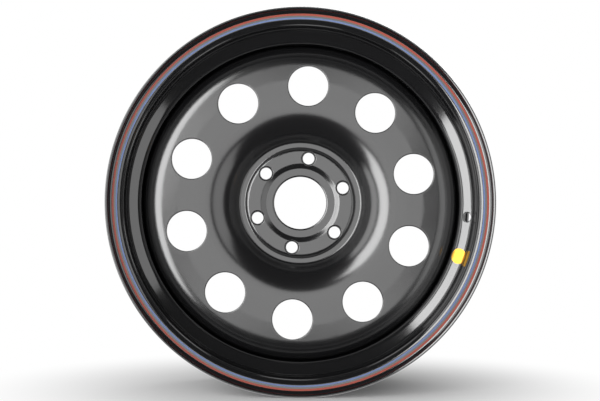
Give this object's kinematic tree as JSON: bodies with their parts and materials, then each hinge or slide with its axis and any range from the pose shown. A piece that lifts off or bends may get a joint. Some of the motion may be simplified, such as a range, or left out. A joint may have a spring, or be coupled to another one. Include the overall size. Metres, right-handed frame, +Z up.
{
  "type": "steel wheel",
  "caption": "Black-painted steel car wheel: rolled drop-centre rim, welded stamped disc with round vents, conical stud seats and a pilot bore, red and blue flange pinstripes.",
  "frame": {"origin": "the wheel's centre: on its axis, in the rim's centre plane", "axes": "+Y along the axis towards the vehicle, the outer face looks along -Y, +Z up"},
  "size_m": [0.4712, 0.2318, 0.4712],
  "materials": {
    "rim_paint": "gloss black stove paint",
    "disc_paint": "semi-gloss black stove paint",
    "weld_paint": "black paint over weld ripples",
    "red_tape": "gloss vinyl tape",
    "blue_tape": "gloss vinyl tape",
    "gold_foil": "metallised gold film"
  },
  "bodies": {
    "root": {"rim": "rim_paint", "disc": "disc_paint", "disc_welds": "weld_paint", "red_pinstripe": "red_tape", "blue_pinstripe": "blue_tape", "foil_dot": "gold_foil"}
  },
  "joints": []
}
